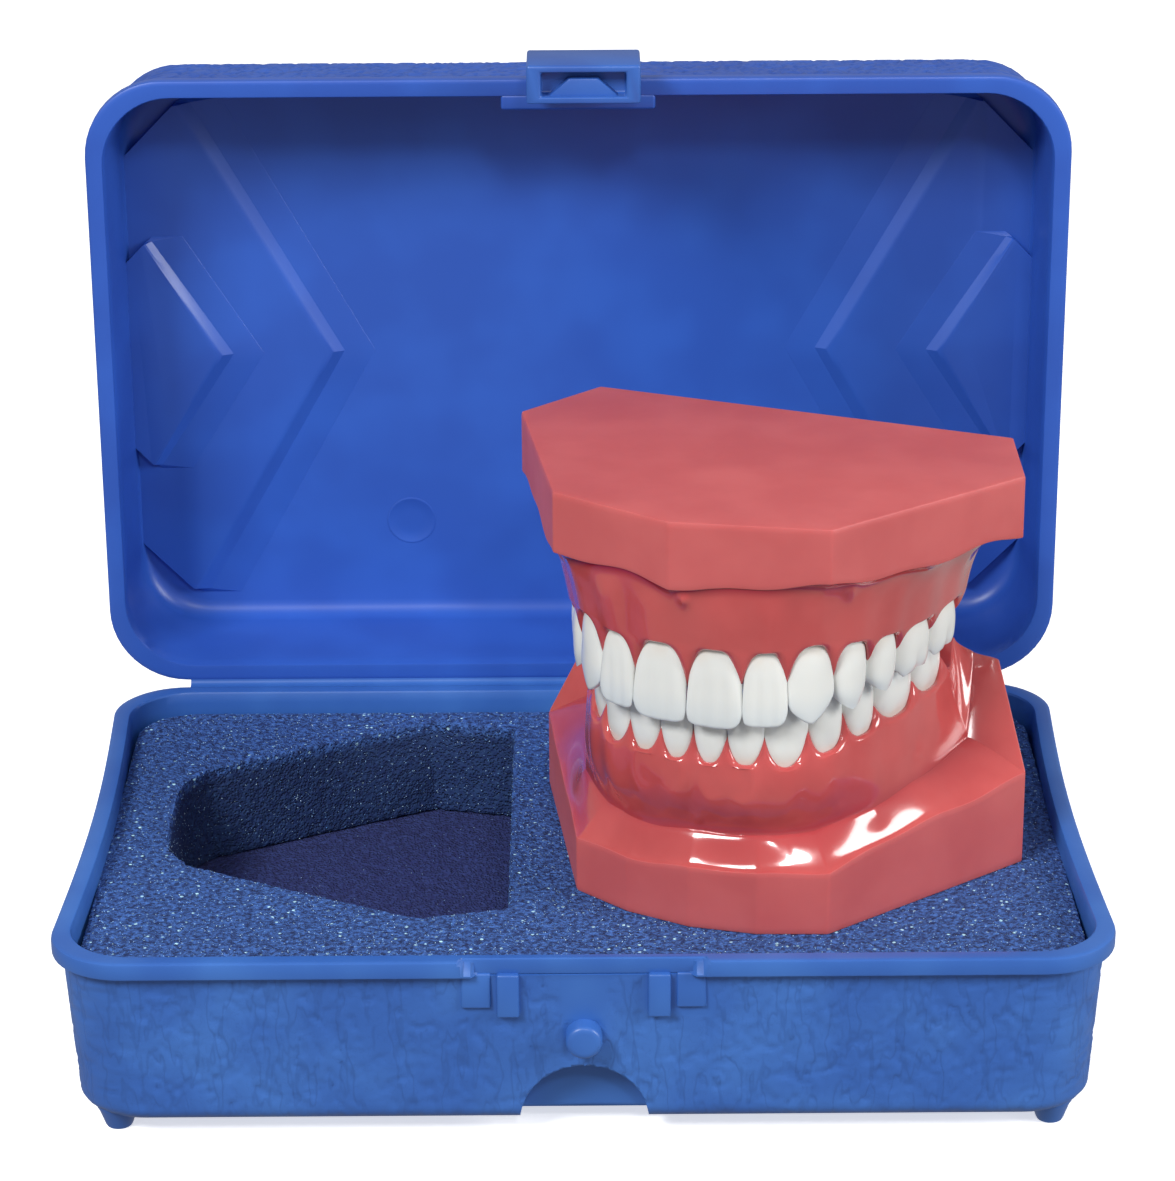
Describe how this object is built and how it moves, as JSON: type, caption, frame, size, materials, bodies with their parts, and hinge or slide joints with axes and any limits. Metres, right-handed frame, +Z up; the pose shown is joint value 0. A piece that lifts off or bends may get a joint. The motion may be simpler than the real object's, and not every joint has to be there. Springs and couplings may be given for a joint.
{
  "type": "typodont model",
  "caption": "Dental typodont: upper and lower jaw casting with separate seated teeth, standing in occlusion on the cut foam of its open hinged carrying case.",
  "frame": {"origin": "middle of the footprint of the open case, on the plane of its feet", "axes": "+X to the right of someone facing the open case, +Y towards the hinge and away from them, +Z up"},
  "size_m": [0.163, 0.1316, 0.1435],
  "materials": {
    "case_plastic": "satin moulded polypropylene, leather grain outside, smooth inside",
    "latch_plastic": "satin moulded polypropylene",
    "foam": "open-cell foam, cut faces",
    "foam_pad": "open-cell foam pad",
    "gum_acrylic": "coral pink acrylic, glossy gum, satin trimmed faces",
    "enamel": "glossy white acrylic enamel"
  },
  "bodies": {
    "case": {"case_tray": "case_plastic", "hinge_web": "case_plastic", "foam_insert": "foam", "foam_base": "foam_pad"},
    "lid": {"case_lid": "case_plastic"},
    "latch": {"latch_flap": "latch_plastic"},
    "lower_jaw_set": {"lower_jaw": "gum_acrylic", "lower_left_central_incisor": "enamel", "lower_left_lateral_incisor": "enamel", "lower_left_canine": "enamel", "lower_left_first_premolar": "enamel", "lower_left_second_premolar": "enamel", "lower_left_first_molar": "enamel", "lower_left_second_molar": "enamel", "lower_right_central_incisor": "enamel", "lower_right_lateral_incisor": "enamel", "lower_right_canine": "enamel", "lower_right_first_premolar": "enamel", "lower_right_second_premolar": "enamel", "lower_right_first_molar": "enamel", "lower_right_second_molar": "enamel"},
    "upper_jaw_set": {"upper_jaw": "gum_acrylic", "upper_left_central_incisor": "enamel", "upper_left_lateral_incisor": "enamel", "upper_left_canine": "enamel", "upper_left_first_premolar": "enamel", "upper_left_second_premolar": "enamel", "upper_left_first_molar": "enamel", "upper_left_second_molar": "enamel", "upper_right_central_incisor": "enamel", "upper_right_lateral_incisor": "enamel", "upper_right_canine": "enamel", "upper_right_first_premolar": "enamel", "upper_right_second_premolar": "enamel", "upper_right_first_molar": "enamel", "upper_right_second_molar": "enamel"}
  },
  "joints": [
    {"name": "lid_hinge", "type": "hinge", "parent": "case", "child": "lid", "pos_m": [0, 0.04225, 0.03155], "axis": [-1, 0, 0], "range_deg": [-35, 90]},
    {"name": "latch_hinge", "type": "hinge", "parent": "lid", "child": "latch", "pos_m": [0, 0.04225, 0.13875], "axis": [-1, 0, 0], "range_deg": [0, 90]},
    {"name": "lower_jaw_lift", "type": "slide", "parent": "case", "child": "lower_jaw_set", "axis": [-0.2491, -0.5926, 0.766], "range_m": [0, 0.006]},
    {"name": "upper_jaw_lift", "type": "slide", "parent": "lower_jaw_set", "child": "upper_jaw_set", "axis": [-0.2491, -0.5926, 0.766], "range_m": [0, 0.014]}
  ]
}
